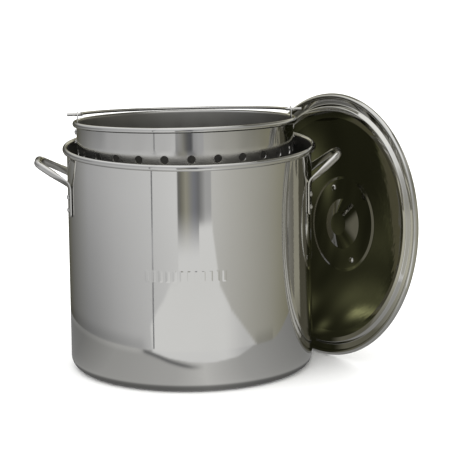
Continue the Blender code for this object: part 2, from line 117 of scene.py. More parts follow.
def makeSteel(name, finish):
    # A clean metal mirror whose polishing lines and slow waves bend what it reflects a little.
    material = bpy.data.materials.new(name)
    material.use_nodes = True
    tree = material.node_tree
    shader = tree.nodes["Principled BSDF"]
    shader.inputs["Metallic"].default_value = 1
    place = addNode(tree, "ShaderNodeAttribute", {"attribute_name": "ownPlace"}).outputs["Vector"]
    if "spun" in finish:  # lines run round the axis, as polished on a turning lid
        split = addNode(tree, "ShaderNodeSeparateXYZ", links={0: place})
        flat = addNode(tree, "ShaderNodeVectorMath", {"operation": "MULTIPLY", 1: (1, 1, 0)}, {0: place})
        radius = addNode(tree, "ShaderNodeVectorMath", {"operation": "LENGTH"}, {0: flat.outputs[0]})
        lines = addNode(tree, "ShaderNodeCombineXYZ", links={0: radius.outputs["Value"], 2: split.outputs[2]})
    else:
        stretch = (1, 1, 1 / finish["lineStretch"])
        lines = addNode(tree, "ShaderNodeVectorMath", {"operation": "MULTIPLY", 1: stretch}, {0: place})
    grain = addNode(tree, "ShaderNodeTexNoise", {"Scale": 1 / finish["lineWidth"], "Detail": 3},
                    {"Vector": lines.outputs[0]})
    wave = addNode(tree, "ShaderNodeTexNoise", {"Scale": 1 / finish["wave"], "Detail": 1}, {"Vector": place})
    hazeScale = 0.4 / finish["wave"]  # the stain's clouds are wider than the waves
    haze = addNode(tree, "ShaderNodeTexNoise", {"Scale": hazeScale, "Detail": 4}, {"Vector": place})
    low, high = finish["roughness"]
    spread = {"From Min": 0.3, "From Max": 0.7, "To Min": low, "To Max": high}  # where most of the noise lies
    rough = addNode(tree, "ShaderNodeMapRange", spread, {"Value": haze.outputs["Fac"]})
    if "dullTo" in finish:  # rougher below a height on the piece
        top, bottom, extra = finish["dullTo"]
        level = addNode(tree, "ShaderNodeSeparateXYZ", links={0: place}).outputs[2]
        fall = {"From Min": top, "From Max": bottom, "To Min": 0, "To Max": extra}
        dull = addNode(tree, "ShaderNodeMapRange", fall, {"Value": level})
        sources = {0: rough.outputs[0], 1: dull.outputs[0]}
        rough = addNode(tree, "ShaderNodeMath", {"operation": "ADD"}, sources)
    colours = {"data_type": "RGBA", 6: toLinear(finish["colour"]), 7: toLinear(finish["stain"])}
    tint = addNode(tree, "ShaderNodeMix", colours, {0: haze.outputs["Fac"]})
    slow = addNode(tree, "ShaderNodeBump", {"Strength": 1, "Distance": finish["waveDepth"]},
                   {"Height": wave.outputs["Fac"]})
    fine = addNode(tree, "ShaderNodeBump", {"Strength": 1, "Distance": finish["lineDepth"]},
                   {"Height": grain.outputs["Fac"], "Normal": slow.outputs[0]})
    tree.links.new(tint.outputs[2], shader.inputs["Base Color"])
    tree.links.new(rough.outputs[0], shader.inputs["Roughness"])
    tree.links.new(fine.outputs[0], shader.inputs["Normal"])
    return material


materials = {finish["kind"]: makeSteel(name, finish) for name, finish in steels.items()}
print("materials:", len(materials))


# Mesh helpers

def arc(centre, radius, start, end, steps):
    angles = [math.radians(start + (end - start) * i / steps) for i in range(steps + 1)]
    return [(centre[0] + radius * math.cos(a), centre[1] + radius * math.sin(a)) for a in angles]


def rounded(points, radii, steps):
    # The points with each inner corner replaced by an arc of its radius.
    points = [Vector(p).to_3d() for p in points]
    path = [points[0]]
    for before, corner, after, radius in zip(points, points[1:], points[2:], radii):
        a = (before - corner).normalized()
        b = (after - corner).normalized()
        half = a.angle(b) / 2
        centre = corner + (a + b).normalized() * radius / math.sin(half)
        fromA = (corner + a * radius / math.tan(half) - centre).normalized()
        fromB = (corner + b * radius / math.tan(half) - centre).normalized()
        path += [centre + fromA.slerp(fromB, i / steps) * radius for i in range(steps + 1)]
    path.append(points[-1])
    return path


def evenColumns(count):
    return [2 * math.pi * i / count for i in range(count)]


def facing(sign):
    # Pieces are made on the +X side, and turned half round for the other.
    return Matrix.Rotation(0 if sign > 0 else math.pi, 4, "Z")


def axesAt(point, out, upward):
    z = out.normalized()
    x = upward.cross(z).normalized()
    return Matrix.Translation(point) @ Matrix((x, z.cross(x), z)).transposed().to_4x4()


def finishPiece(piece, body, slotName, nodes, kind=None, sharpAngle=38, inside=None):
    # Modifiers are turned into mesh, edges sharper than the angle stay crisp, and the piece joins its body.
    if piece.modifiers:
        graph = bpy.context.evaluated_depsgraph_get()
        solid = bpy.data.meshes.new_from_object(piece.evaluated_get(graph))
        piece.modifiers.clear()
        piece.data = solid
    mesh = piece.data
    own = mesh.attributes.new("ownPlace", "FLOAT_VECTOR", "POINT")
    own.data.foreach_set("vector", [c for vert in mesh.vertices for c in vert.co])
    mesh.shade_smooth()
    mesh.set_sharp_from_angle(angle=math.radians(sharpAngle))
    mesh.materials.append(materials[kind or slotName])
    # Faces inside the vessels take the inside steel: its roughness is the duller finish, and its darker
    # colour is painted shade.
    if inside:
        mesh.materials.append(materials["inside"])
        for face in mesh.polygons:
            face.material_index = int(inside(face.center, face.normal))
    mesh.transform(piece.matrix_world)
    piece.matrix_world = Matrix()
    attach(piece, body)
    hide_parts(*nodes)


def placed(mesh, matrix=None):
    piece = bpy.data.objects.new(mesh.name, mesh)
    bpy.context.scene.collection.objects.link(piece)
    piece.matrix_world = matrix or Matrix()
    return piece


def meshPiece(name, points, faces, matrix=None):
    mesh = bpy.data.meshes.new(name)
    mesh.from_pydata([tuple(p) for p in points], [], faces)
    return placed(mesh, matrix)


def editedPiece(name, bm, matrix):
    mesh = bpy.data.meshes.new(name)
    bm.to_mesh(mesh)
    bm.free()
    return placed(mesh, matrix)


def inwards(radius, floorHeight):
    # Faces that look at the axis from within this radius, or up from the floor.
    def test(centre, normal):
        reach = math.hypot(centre.x, centre.y)
        looksIn = centre.x * normal.x + centre.y * normal.y < -0.3 * reach
        return (looksIn and reach < radius) or (normal.z > 0.5 and centre.z < floorHeight)
    return test


def beadRoll(points, top, stretch):
    # A rolled rim is taller than it is deep: it grows down from its top.
    return [(r, top - (top - z) * stretch) for r, z in points]


def turned(name, profile, columns, matrix=None, shape=None):
    # A solid of revolution. The profile starts and ends on the axis and runs down its outer side.
    count = len(columns)
    rings = profile[1:-1]
    points = [(0, 0, profile[0][1])]
    for r, z in rings:
        for a in columns:
            reach = r + (shape(a, z, r) if shape else 0)
            points.append((reach * math.cos(a), reach * math.sin(a), z))
    points.append((0, 0, profile[-1][1]))
    last = len(points) - 1
    faces = [(0, 1 + i, 1 + (i + 1) % count) for i in range(count)]
    for ring in range(len(rings) - 1):
        first = 1 + ring * count
        for i in range(count):
            j = (i + 1) % count
            faces.append((first + i, first + count + i, first + count + j, first + j))
    first = last - count
    faces += [(last, first + (i + 1) % count, first + i) for i in range(count)]
    return meshPiece(name, points, faces, matrix)


def section(width, thickness, flatness, sides):
    # A closed outline, round at flatness 0 and nearly a rectangle at 1.
    power = 1 - 0.62 * flatness
    angles = [2 * math.pi * (i + 0.5) / sides for i in range(sides)]
    return [(width / 2 * math.copysign(abs(math.cos(a)) ** power, math.cos(a)),
             thickness / 2 * math.copysign(abs(math.sin(a)) ** power, math.sin(a))) for a in angles]


def sweep(name, path, sections, across, matrix, sides):
    # Sections swept along a path, with rounded ends. across is the width's way at the start.
    points, faces, side = [], [], across.normalized()
    for i, point in enumerate(path):
        along = (path[min(i + 1, len(path) - 1)] - path[max(i - 1, 0)]).normalized()
        side = (side - along * side.dot(along)).normalized()
        other = along.cross(side)
        points += [point + side * a + other * b for a, b in section(*sections(i, point), sides)]
    for ring in range(len(path) - 1):
        for i in range(sides):
            j = (i + 1) % sides
            low, high = ring * sides, (ring + 1) * sides
            faces.append((low + i, low + j, high + j, high + i))
    faces.append(tuple(range(sides - 1, -1, -1)))
    faces.append(tuple(len(points) - sides + i for i in range(sides)))
    return meshPiece(name, points, faces, matrix)


def mirrored(path, axis):
    # The other half of a path whose last point lies on the mirror plane.
    flip = Vector([-1 if i == axis else 1 for i in range(3)])
    return path + [p * flip for p in reversed(path[:-1])]


def denser(path, step):
    # Points added along straight runs, so that a section can change smoothly there.
    out = [path[0]]
    for before, after in zip(path, path[1:]):
        count = max(1, round((after - before).length / step))
        out += [before.lerp(after, i / count) for i in range(1, count + 1)]
    return out


def nodePoints(node):
    return np.array([v.co for v in frame["nodes"][node].data.vertices])


# Rivets

rivetSize = {"head": 5.0 * mm, "dome": 2.8 * mm, "shank": 2.5 * mm, "foot": 4.0 * mm, "footHeight": 1.6 * mm,
             "edge": 0.35 * mm, "footEdges": (0.4 * mm, 0.6 * mm), "columns": 40}


def rivet(node, out, body):
    # Placed from its CAD node: its axis runs through the node's middle, and its dome ends where that does.
    size = rivetSize
    places = np.unique(nodePoints(node).round(6), axis=0)
    centre, way = places.mean(0), np.array(out)
    top, bottom = (places @ way).max(), (places @ way).min()
    head = Vector(centre + way * (top - centre @ way)) - out * size["dome"]
    length = top - bottom
    ball = (size["head"] ** 2 + size["dome"] ** 2) / (2 * size["dome"])
    slope = math.degrees(math.asin(size["head"] / ball))
    foot = size["dome"] - length
    profile = [(0, size["dome"])]
    profile += arc((0, size["dome"] - ball), ball, 90 - 0.1 * slope, 90 - 0.93 * slope, 8)
    profile += arc((size["head"] - size["edge"], size["edge"]), size["edge"], 40, -90, 4)
    profile += [(size["shank"], 0), (size["shank"], foot + size["footHeight"])]
    above, below = size["footEdges"]
    profile += arc((size["foot"] - above, foot + size["footHeight"] - above), above, 90, 0, 3)
    profile += arc((size["foot"] - below, foot + below), below, 0, -90, 4)
    profile.append((0, foot))
    other = up if abs(out.z) < 0.9 else Vector((0, 1, 0))
    piece = turned(node + "_domed", profile, evenColumns(size["columns"]), axesAt(head, out, other))
    finishPiece(piece, body, "satin_steel", [node])


# Pot

potSize = {
    "wall": 1.2 * mm, "corner": 19 * mm, "bead": 4 * mm, "beadStretch": 1.2, "coarseStep": math.radians(1.6),
    "embossed": {"height": 0.181, "tall": 16 * mm, "wide": 4.6 * mm, "depth": 0.36 * mm, "edge": 1.5 * mm,
                 "bars": 12, "from": -112, "to": -73, "step": 0.9 * mm},
}
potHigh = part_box("pot_shell")[1]
potRim = potHigh.x  # outside the rolled rim
potHeight = potHigh.z
potRadius = potRim - 2 * potSize["bead"] + potSize["wall"]


def embossedOffset(angle, z, r):
    # A row of plain raised bars across the front, where such pots are embossed.
    mark = potSize["embossed"]
    if r < potRadius - 0.1 * mm or abs(z - mark["height"]) > mark["tall"]:
        return 0
    turn = math.degrees(angle)
    turn = turn - 360 if turn > 180 else turn
    pitch = (mark["to"] - mark["from"]) / mark["bars"]
    if not mark["from"] < turn < mark["to"]:
        return 0
    inCell = ((turn - mark["from"]) % pitch) - pitch / 2
    across = mark["wide"] / 2 - abs(math.radians(inCell)) * potRadius
    along = mark["tall"] / 2 - abs(z - mark["height"])
    return mark["depth"] * float(smoothStep(min(across, along), -mark["edge"] / 2, mark["edge"] / 2))


def makePot():
    size, mark = potSize, potSize["embossed"]
    inner = potRadius - size["wall"]
    beadCentre = (inner + size["bead"], potHeight - size["bead"])
    meetsWall = -math.degrees(math.acos((potRadius - beadCentre[0]) / size["bead"]))
    innerCorner = size["corner"] - size["wall"]
    profile = [(0, size["wall"]), (0.5 * inner, size["wall"])]
    profile += arc((inner - innerCorner, size["corner"]), innerCorner, -90, 0, 12)
    profile += [(inner, z) for z in np.linspace(0.06, potHeight - 0.02, 6)]
    profile += beadRoll(arc(beadCentre, size["bead"], 180, meetsWall, 24), potHeight, size["beadStretch"])
    top, bottom = mark["height"] + mark["tall"] * 0.65, mark["height"] - mark["tall"] * 0.65
    profile += [(potRadius, z) for z in np.linspace(potHeight - 0.02, top + 0.01, 6)]
    profile += [(potRadius, z) for z in np.arange(top, bottom, -mark["step"])]
    profile += [(potRadius, z) for z in np.linspace(bottom - 0.01, size["corner"] + 0.01, 5)]
    profile += arc((potRadius - size["corner"], size["corner"]), size["corner"], 0, -90, 14)
    profile += [(0.5 * inner, 0), (0, 0)]
    start, end = math.radians(mark["from"] - 1), math.radians(mark["to"] + 1)
    fine = np.arange(start, end, mark["step"] / potRadius)
    coarseCount = round((2 * math.pi + start - end) / size["coarseStep"])
    coarse = np.linspace(end, start + 2 * math.pi, coarseCount)[:-1]
    pot = turned("pot_shell_polished", profile, [*fine, *coarse], None, embossedOffset)
    inside = inwards(potRadius - 0.5 * size["wall"], 1.5 * size["wall"])
    finishPiece(pot, "pot", "mirror_steel", ["pot_shell"], inside=inside)
    print("pot:", len(pot.data.polygons), "faces")


# Pot handles

handleSize = {
    "tube": 11.4 * mm, "tangWidth": 17 * mm, "tangThickness": 3 * mm, "taper": 6 * mm, "tangLength": 50 * mm,
    "spacing": 104 * mm, "nose": 46 * mm, "bends": (10 * mm, 17 * mm), "opens": 0.55, "sides": 28,
    "step": 1.6 * mm,
}


def flatToRound(share, size):
    # A pressed tang's flat section where share is 0, opening into the round tube where it is 1.
    share = float(smoothStep(share, 0, 1))
    width = size["tangWidth"] + (size["tube"] - size["tangWidth"]) * share
    return width, size["tangThickness"] + (size["tube"] - size["tangThickness"]) * share, 1 - share


def tipWidth(distance, taper):
    # How much of its width a rounded tang tip has at this distance from its end.
    t = min(max(distance / taper, 0.02), 1)
    return math.sqrt(1 - (1 - t) ** 2)


def makePotHandle(side, sign):
    size = handleSize
    node = "pot_handle_" + side
    low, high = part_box(node)
    noseX = max(abs(low.x), abs(high.x)) - size["tube"] / 2
    noseZ = high.z - size["tube"] / 2
    foot = low.z
    spread = math.asin(size["spacing"] / 2 / potRadius)
    wallWay = Vector((math.cos(spread), -math.sin(spread), 0))
    start = wallWay * (potRadius + gap + size["tangThickness"] / 2)
    rootZ = foot + size["tangLength"]
    corners = [start + up * foot, start + up * rootZ,
               Vector((noseX, -size["nose"] / 2, noseZ)), Vector((noseX, 0, noseZ))]
    path = mirrored(denser(rounded(corners, size["bends"], 14), size["step"]), 1)

    def sections(i, point):
        share = (point.z - rootZ - 1 * mm) / (size["opens"] * (noseZ - rootZ))
        width, thick, flat = flatToRound(share, size)
        return width * tipWidth(point.z - foot, size["taper"]), thick, flat

    handle = sweep(node + "_tube", path, sections, up.cross(wallWay), facing(sign), size["sides"])
    finishPiece(handle, "pot", "satin_steel", [node], sharpAngle=50)
    for end, turn in (("a", -spread), ("b", spread)):
        way = Vector((sign * math.cos(turn), sign * math.sin(turn), 0))
        for row in ("lower", "upper"):
            rivet(f"pot_{side}_rivet_{end}_{row}", way, "pot")
    print(side, "pot handle:", len(path), "stations")


# Basket

basketSize = {
    "wall": 1 * mm, "radius": 169 * mm, "depth": 372.5 * mm, "corner": 8 * mm, "curl": 3.5 * mm,
    "columns": 26, "hole": 6.4 * mm, "firstRow": 45 * mm, "rowPitch": 64 * mm, "rows": 5, "cell": 30 * mm,
    "perSide": 6, "baseRings": {0.0: 1, 55 * mm: 6, 115 * mm: 12}, "eyeHeight": 13.7 * mm,
    "loops": (1.0, 1.18, 1.5, 2.0),  # of points round each hole, in its radius
    "beadStretch": 1.35, "pressed": 1.1 * mm, "pressedFrom": -31 * mm, "pressedTo": -50 * mm,
}
earSize = {"width": 16 * mm, "thickness": 1.5 * mm, "bottom": 36 * mm, "top": 18.4 * mm, "eye": 3 * mm,
           "round": 0.35 * mm}
bailSize = {"wire": 2.5 * mm, "stub": 183 * mm, "bend": 5 * mm, "steps": 56, "sides": 18}


def boxCentre(node):
    low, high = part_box(node)
    return (low + high) / 2


def basketAxes():
    # X along the bail's hinge, Z from the lower to the upper ear rivets, origin at the middle of the rim.
    x = Vector(joints["bail_swing"]["axis"]).normalized()
    z = Vector((0, 0, 0))
    for side in ("left", "right"):
        z += boxCentre(f"basket_{side}_rivet_upper") - boxCentre(f"basket_{side}_rivet_lower")
    z = (z - x * z.dot(x)).normalized()
    origin = Vector(joints["bail_swing"]["pos_m"]) - z * basketSize["eyeHeight"]
    return Matrix.Translation(origin) @ Matrix((x, z.cross(x), z)).transposed().to_4x4()


def makeBasketShell(matrix):
    size = basketSize
    perSide, radius, half = size["perSide"], size["radius"], size["cell"] / 2
    count = size["columns"] * perSide  # columns of points round the wall
    bm = bmesh.new()

    def wallPoint(column, z, r=radius):
        angle = 2 * math.pi * column / count - math.pi / 2
        return bm.verts.new((r * math.cos(angle), r * math.sin(angle), z))

    def level(z, r=radius):
        return [wallPoint(i, z, r) for i in range(count)]

    def band(lower, upper):
        for i in range(len(lower)):
            j = (i + 1) % len(lower)
            bm.faces.new((lower[i], lower[j], upper[j], upper[i]))

    def holeRow(centre, shift):
        # Each cell's rectangle closes in on its round hole through loops that stay on the cylinder.
        edges = [level(centre - half + size["cell"] * i / perSide) for i in range(perSide + 1)]
        for cell in range(size["columns"]):
            left = cell * perSide + shift
            border = [edges[0][(left + i) % count] for i in range(perSide)]
            border += [edges[i][(left + perSide) % count] for i in range(perSide)]
            border += [edges[perSide][(left + perSide - i) % count] for i in range(perSide)]
            border += [edges[perSide - i][left % count] for i in range(perSide)]
            middle = left + perSide / 2
            spots = []
            for i in range(4 * perSide):
                corner, step = divmod(i, perSide)
                t = -1 + 2 * step / perSide
                spots.append([(t, -1), (1, t), (-t, 1), (-1, -t)][corner])
            inner = border
            for share in reversed(size["loops"]):
                ring = []
                for x, z in spots:
                    angle = math.atan2(z, x)
                    reach = size["hole"] * share
                    across, height = reach * math.cos(angle), reach * math.sin(angle)
                    ring.append(wallPoint(middle + across / (2 * math.pi * radius) * count, centre + height))
                for i in range(len(ring)):
                    j = (i + 1) % len(ring)
                    bm.faces.new((inner[i], inner[j], ring[j], ring[i]))
                inner = ring
        for row in edges[1:-1]:
            for i, vert in enumerate(row):
                if not vert.link_faces:
                    bm.verts.remove(vert)
        return edges[0], edges[-1]

    corner = arc((radius - size["corner"], size["corner"] - size["depth"]), size["corner"], -90, 0, 8)
    levels = [level(z, r) for r, z in corner]
    baseEdge = levels[0]
    for lower, upper in zip(levels, levels[1:]):
        band(lower, upper)
    current = levels[-1]
    for row in reversed(range(size["rows"])):
        centre = -size["firstRow"] - row * size["rowPitch"]
        lower, upper = holeRow(centre, 0 if row % 2 else -perSide // 2)
        band(current, lower)
        current = upper
    curl = size["curl"] - size["wall"]
    for r, z in beadRoll(arc((radius + curl, 0), curl, 180, -135, 20), curl, size["beadStretch"]):
        ring = level(z, r)
        band(current, ring)
        current = ring
    loops = [baseEdge]
    for ringRadius, holes in size["baseRings"].items():
        for i in range(holes):
            turn = 2 * math.pi * i / holes
            x, y = ringRadius * math.cos(turn), ringRadius * math.sin(turn)
            rim = [(x + size["hole"] * math.cos(a), y + size["hole"] * math.sin(a)) for a in evenColumns(24)]
            loops.append([bm.verts.new((px, py, -size["depth"])) for px, py in rim])
    edges = []
    for loop in loops:
        for i, vert in enumerate(loop):
            pair = (vert, loop[(i + 1) % len(loop)])
            edges.append(bm.edges.get(pair) or bm.edges.new(pair))
    bmesh.ops.triangle_fill(bm, use_beauty=True, edges=edges, normal=(0, 0, -1))
    bmesh.ops.recalc_face_normals(bm, faces=bm.faces)
    lowest = min(bm.faces, key=lambda face: face.calc_center_median().z)
    if lowest.normal.z > 0:
        bmesh.ops.reverse_faces(bm, faces=bm.faces)
    for vert in bm.verts:  # the punched rows sit in a wall that draws in slightly below the plain band
        z = vert.co.z
        draw = size["pressed"] * float(smoothStep(z, size["pressedFrom"], size["pressedTo"]))
        draw *= float(smoothStep(z, -size["depth"] + 2 * size["corner"], -size["depth"] + 6 * size["corner"]))
        vert.co.x *= 1 - draw / radius
        vert.co.y *= 1 - draw / radius
    basket = editedPiece("basket_shell_perforated", bm, matrix)
    sheet = basket.modifiers.new("sheet", "SOLIDIFY")
    sheet.thickness = size["wall"]
    sheet.offset = -1
    sheet.use_even_offset = True
    inside = inwards(radius - 0.4 * size["wall"], -size["depth"] + 1.5 * size["wall"])
    finishPiece(basket, "basket", "mirror_steel", ["basket_shell"], "punched", inside=inside)
    print("basket:", len(basket.data.polygons), "faces")


def earInner():
    return basketSize["radius"] - basketSize["wall"] - 2 * gap - earSize["thickness"]


def makeEar(side, sign, matrix):
    # A strap inside the wall with a round top and an eye for the wire.
    size = earSize
    half = size["width"] / 2
    inner = earInner()
    outline = arc((0, size["top"] - half), half, 0, 180, 24)
    outline += arc((0, 0.6 * half - size["bottom"]), half, 217, 323, 12)
    eye = arc((0, basketSize["eyeHeight"]), size["eye"], 0, 345, 23)
    bm = bmesh.new()
    edges = []
    for loop in (outline, eye):
        verts = [bm.verts.new((inner, y, z)) for y, z in loop]
        edges += [bm.edges.new((v, verts[(i + 1) % len(verts)])) for i, v in enumerate(verts)]
    bmesh.ops.triangle_fill(bm, use_beauty=True, edges=edges, normal=(1, 0, 0))
    grown = bmesh.ops.extrude_face_region(bm, geom=list(bm.faces))["geom"]
    moved = [v for v in grown if isinstance(v, bmesh.types.BMVert)]
    bmesh.ops.translate(bm, verts=moved, vec=(size["thickness"], 0, 0))
    bmesh.ops.recalc_face_normals(bm, faces=bm.faces)
    name = "basket_ear_" + side
    ear = editedPiece(name + "_strap", bm, matrix @ facing(sign))
    edge = ear.modifiers.new("edge", "BEVEL")
    edge.width = size["round"]
    edge.segments = 2
    edge.limit_method = "ANGLE"
    finishPiece(ear, "basket", "satin_steel", [name])
    out = (matrix.to_3x3() @ Vector((sign, 0, 0))).normalized()
    for row in ("lower", "upper"):
        rivet(f"basket_{side}_rivet_{row}", out, "basket")


def makeBail(matrix):
    # A half ring of wire that turns in both eyes and lies on the back of the rim.
    size = bailSize
    halfWidth = earInner() - size["wire"] - 2 * gap
    restHeight = basketSize["curl"] + size["wire"] + gap
    reach = basketSize["radius"] - basketSize["wall"] + basketSize["curl"]
    droop = math.asin((basketSize["eyeHeight"] - restHeight) / reach)
    pivot = matrix @ Matrix.Translation((0, 0, basketSize["eyeHeight"])) @ Matrix.Rotation(-droop, 4, "X")
    start = math.asin(3 * size["bend"] / reach)
    angles = [start + (math.pi / 2 - start) * i / size["steps"] for i in range(size["steps"] + 1)]
    arch = [Vector((halfWidth * math.cos(a), reach * math.sin(a), 0)) for a in angles]
    corner = Vector((halfWidth - 0.8 * size["bend"], 0, 0))
    bend = rounded([Vector((size["stub"], 0, 0)), corner, arch[0]], [size["bend"]], 10)
    path = mirrored(bend + arch[1:], 0)
    wire = 2 * size["wire"]
    bail = sweep("basket_bail_wire", path, lambda i, p: (wire, wire, 0), up, pivot, size["sides"])
    finishPiece(bail, "bail", "wire_steel", ["basket_bail"], sharpAngle=60)
    print("bail:", len(path), "stations")


# Lid

lidSize = {
    "radius": 208.6 * mm, "bead": 4.5 * mm, "beadRise": 0.4 * mm, "beadOverlap": 8, "sheet": 1 * mm,
    "columns": 240, "flange": (199 * mm, 1 * mm),
    "step": (191 * mm, 0.4 * mm), "ridge": ((187.2 * mm, -4.4 * mm), (180.5 * mm, -4.4 * mm)),
    "domeFoot": (170 * mm, 1.2 * mm), "domeRadius": 480 * mm, "domeRings": 24, "ring": 76 * mm,
    "ringStep": 1.4 * mm, "ringRun": 4.5 * mm, "dishOuter": 40 * mm, "dishInner": 17.7 * mm,
    "dishDepth": 9.5 * mm,
    "bends": {"dish": (1.2 * mm, 2.5 * mm), "ring": (4 * mm, 4 * mm), "dome": 2 * mm,
              "seat": (2.5 * mm, 1.6 * mm, 1.6 * mm, 1.8 * mm)},
}
lidHandleSize = {
    "tube": 11.4 * mm, "tangWidth": 17 * mm, "tangThickness": 3 * mm, "taper": 6 * mm, "pad": 24 * mm,
    "rise": 36 * mm, "foot": 49 * mm, "top": 30 * mm, "bends": (7 * mm, 14 * mm), "opens": 0.6, "sides": 28,
    "step": 1.6 * mm,
}


def lidAxes():
    # Z out of the lid's top, level with how it is taken away, and square to the line through its two rivets.
    away = Vector(joints["lid_lift"]["axis"])
    away = Vector((away.x, away.y, 0)).normalized()
    lower, upper = (np.unique(nodePoints("lid_rivet_" + end).round(6), axis=0) for end in ("lower", "upper"))
    line = Vector(upper.mean(0) - lower.mean(0)).normalized()
    lean = math.atan2(away.dot(line), line.z)
    z = away * math.cos(lean) - up * math.sin(lean)
    x = up.cross(z).normalized()
    y = z.cross(x)
    middle = Vector((upper.mean(0) + lower.mean(0)) / 2)
    turn = Matrix((x, y, z)).transposed()
    top = max((Vector(p) - middle).dot(z) for p in nodePoints("lid_handle"))
    seat = lidFlat() + lidSize["sheet"] / 2
    handle = lidHandleSize
    handleTop = seat + gap + handle["tangThickness"] / 2 + handle["rise"] + handle["tube"] / 2
    origin = middle + z * (top - handleTop)
    along = math.atan2(line.dot(y), line.dot(x))
    return Matrix.Translation(origin) @ turn.to_4x4(), along


def domeHeight(r):
    footR, footZ = lidSize["domeFoot"]
    ball = lidSize["domeRadius"]
    return footZ - math.sqrt(ball ** 2 - footR ** 2) + math.sqrt(ball ** 2 - r ** 2)


def lidFlat():
    return domeHeight(lidSize["ring"]) - lidSize["ringStep"]


def makeLidShell(matrix):
    size = lidSize
    flat = lidFlat()
    ringR = size["ring"]
    dishZ = flat - size["dishDepth"]
    line = [(0, dishZ), (size["dishInner"], dishZ), (size["dishOuter"], flat),
            (ringR - size["ringRun"], flat), (ringR, domeHeight(ringR))]
    line += [(r, domeHeight(r)) for r in np.linspace(ringR, size["domeFoot"][0], size["domeRings"])[1:]]
    line += [size["ridge"][1], size["ridge"][0], size["step"], size["flange"]]
    bends = size["bends"]
    radii = [*bends["dish"], *bends["ring"]] + [bends["dome"]] * (size["domeRings"] - 2) + [*bends["seat"]]
    beadCentre = (size["radius"] - size["bead"], 0)
    line.append((beadCentre[0], size["beadRise"]))
    middle = rounded([(r, z, 0) for r, z in line], radii, 5)[:-1]
    upper, lower = [], []
    for i, point in enumerate(middle):
        along = (middle[min(i + 1, len(middle) - 1)] - middle[max(i - 1, 0)]).normalized()
        normal = Vector((-along.y, along.x, 0)) * size["sheet"] / 2
        upper.append(point + normal)
        lower.append(point - normal)
    start = math.degrees(math.atan2(upper[-1].y, upper[-1].x - beadCentre[0]))
    end = math.degrees(math.atan2(lower[-1].y, lower[-1].x - beadCentre[0]))
    overlap = size["beadOverlap"]
    roll = arc(beadCentre, size["bead"], start - overlap, (end - 360 if end > 0 else end) + overlap, 26)
    profile = [(p.x, p.y) for p in upper] + roll + [(p.x, p.y) for p in reversed(lower)]
    lid = turned("lid_shell_spun", profile, evenColumns(size["columns"]), matrix)
    finishPiece(lid, "lid", "mirror_steel", ["lid_shell"], "lid")
    print("lid:", len(lid.data.polygons), "faces")


def makeLidHandle(matrix, along):
    size = lidHandleSize
    padZ = lidFlat() + lidSize["sheet"] / 2 + gap + size["tangThickness"] / 2
    rivetAt = (boxCentre("lid_rivet_upper") - boxCentre("lid_rivet_lower")).length / 2
    tip = -rivetAt - size["pad"] / 2
    topZ = padZ + size["rise"]
    corners = [Vector((0, tip, padZ)), Vector((0, -size["foot"], padZ)),
               Vector((0, -size["top"], topZ)), Vector((0, 0, topZ))]
    path = mirrored(denser(rounded(corners, size["bends"], 14), size["step"]), 1)

    def sections(i, point):
        share = (point.z - padZ - 1 * mm) / (size["opens"] * size["rise"])
        width, thick, flat = flatToRound(share, size)
        return width * tipWidth(abs(abs(point.y) + tip), size["taper"]), thick, flat

    turn = matrix @ Matrix.Rotation(along - math.pi / 2, 4, "Z")
    handle = sweep("lid_handle_tube", path, sections, Vector((1, 0, 0)), turn, size["sides"])
    finishPiece(handle, "lid", "satin_steel", ["lid_handle"], sharpAngle=50)
    inward = -(matrix.to_3x3() @ up).normalized()
    for end in ("lower", "upper"):
        rivet("lid_rivet_" + end, inward, "lid")


# Studio: a light tent of cards that only reflections see, on a pale floor

# Turns are degrees from the front, heights and reaches are metres, and tones are sRGB levels in the steel.
studio = {
    "floor": "#FAFAF9", "tent": 0.44, "tentTop": 1.5, "tentBack": 0.30, "turnStep": 0.5,
    "seam": -28, "seamWidth": 0.5, "gapFrom": -9, "gapTo": 15.3,
    "ceiling": 168, "cloth": 197, "aboveGap": 176, "foldShade": 88, "dusk": 25, "besideGrey": 82,
    "wall": {-180: 65, -140: 70, -115: 110, -90: 150, -60: 170, -10: 192, 20: 172, 75: 126, 130: 86, 180: 65},
    "wallDrop": {-180: 0.1, -110: 0.16, -90: 0.21, -45: 0.08, 0: 0.03, 60: 0.02, 90: 0.05},  # lost low down
    "wallWarm": {-180: 5, -150: 3, -120: 0.6, -90: 0.1, 0: 0.2, 60: 1.2, 90: 2.5, 150: 3.6, 180: 5},
    "room": {-9: 96, -7: 96, -3: 131, 6: 101, 11: 150},  # seen through the gap in the wall
    "roomWarm": {-9: 0.4, -6: 1.6, -2: 1.6, 3: -0.6, 8: 0.2},
    "clothLeft": {0: -29, 0.04: -30.5, 0.062: -26.5, 0.085: -20, 0.135: -11},  # the pale cloth's sides
    "clothRight": {0: 50, 0.064: 30, 0.108: 21, 0.2: 16},
    "clothFoot": {-36: 0.44, -16: 0.397, 0: 0.374, 15: 0.369, 33: 0.388, 48: 0.44},  # and its near edge
    "ground": {-180: 84, -100: 106, -60: 140, -10: 155, 8: 176, 35: 146, 90: 116, 180: 84},
    "besidePale": {0: 80, 0.04: 92, 0.1: 122, 0.15: 160, 0.35: 156},  # by height
    "beside": (66, 152, 0.338),  # the close card's turns and height
    "folds": [  # its lighter folds: turn, width, height, tallness and gain
        (106, 9, 0.110, 0.030, 34), (102.5, 1.7, 0.092, 0.013, 75), (134, 5, 0.270, 0.045, 46),
        (122, 5, 0.190, 0.035, 28), (113, 6, 0.175, 0.030, 18), (121, 4, 0.075, 0.020, 44),
        (108, 2.2, 0.055, 0.012, 40), (98, 3, 0.130, 0.050, 18)],
    "soft": 1.7, "mirrored": 1.25,  # the sky's strengths, for soft light and for what the steel shows
}
reflects = (np.array(toLinear(sheetSteel["colour"])[:3]) + np.array(toLinear(sheetSteel["stain"])[:3])) / 2


def valueAt(where, stops):
    return np.interp(where, list(stops), list(stops.values()))


